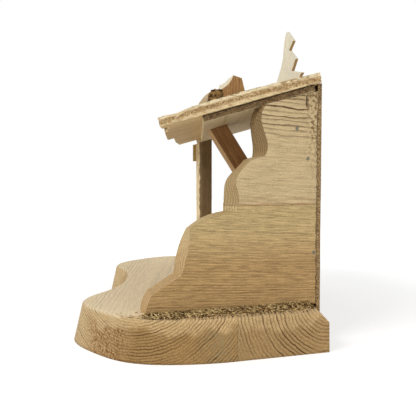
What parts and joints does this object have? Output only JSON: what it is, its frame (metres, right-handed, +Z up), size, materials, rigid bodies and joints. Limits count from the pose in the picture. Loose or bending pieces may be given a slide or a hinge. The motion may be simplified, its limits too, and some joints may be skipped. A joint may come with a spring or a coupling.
{
  "type": "wooden nativity stable",
  "caption": "Open-fronted wooden nativity stable: carved base, one stepped side wall, thin back panel, sloping board roof with a fir tree cut-out.",
  "frame": {"origin": "bottom centre of the whole stable, on the surface it stands on", "axes": "+X across the stable towards its side wall, +Y from the open front to the back panel, +Z up"},
  "size_m": [0.338, 0.197, 0.2644],
  "materials": {
    "base_wood": "raw spruce, sanded, strong end grain",
    "wall_wood": "raw spruce, sawn and carved",
    "post_wood": "hewn spruce, lightly stained",
    "roof_wood": "raw spruce boards with rough split edges",
    "stained_wood": "brown stain, matt",
    "fibreboard": "smooth brown fibreboard",
    "bark": "rough bark",
    "pale_wood": "raw pale wood, fine sanded",
    "steel": "dull nail heads"
  },
  "bodies": {
    "root": {"base_front_board": "base_wood", "base_rear_board": "base_wood", "right_wall_lower_board": "wall_wood", "right_wall_upper_board": "wall_wood", "right_corner_batten": "wall_wood", "rear_top_rail": "wall_wood", "back_panel": "fibreboard", "rear_left_post": "post_wood", "front_left_post": "post_wood", "post_cleat": "stained_wood", "roof_prop": "stained_wood", "roof_underlay": "roof_wood", "roof_board_1": "roof_wood", "roof_board_2": "roof_wood", "roof_board_3": "roof_wood", "roof_board_4": "roof_wood", "roof_board_5": "roof_wood", "roof_board_6": "roof_wood", "bark_pole": "bark", "split_billet": "pale_wood", "roof_stub": "stained_wood", "fir_tree": "pale_wood", "wall_brads": "steel", "panel_nails": "steel"}
  },
  "joints": []
}
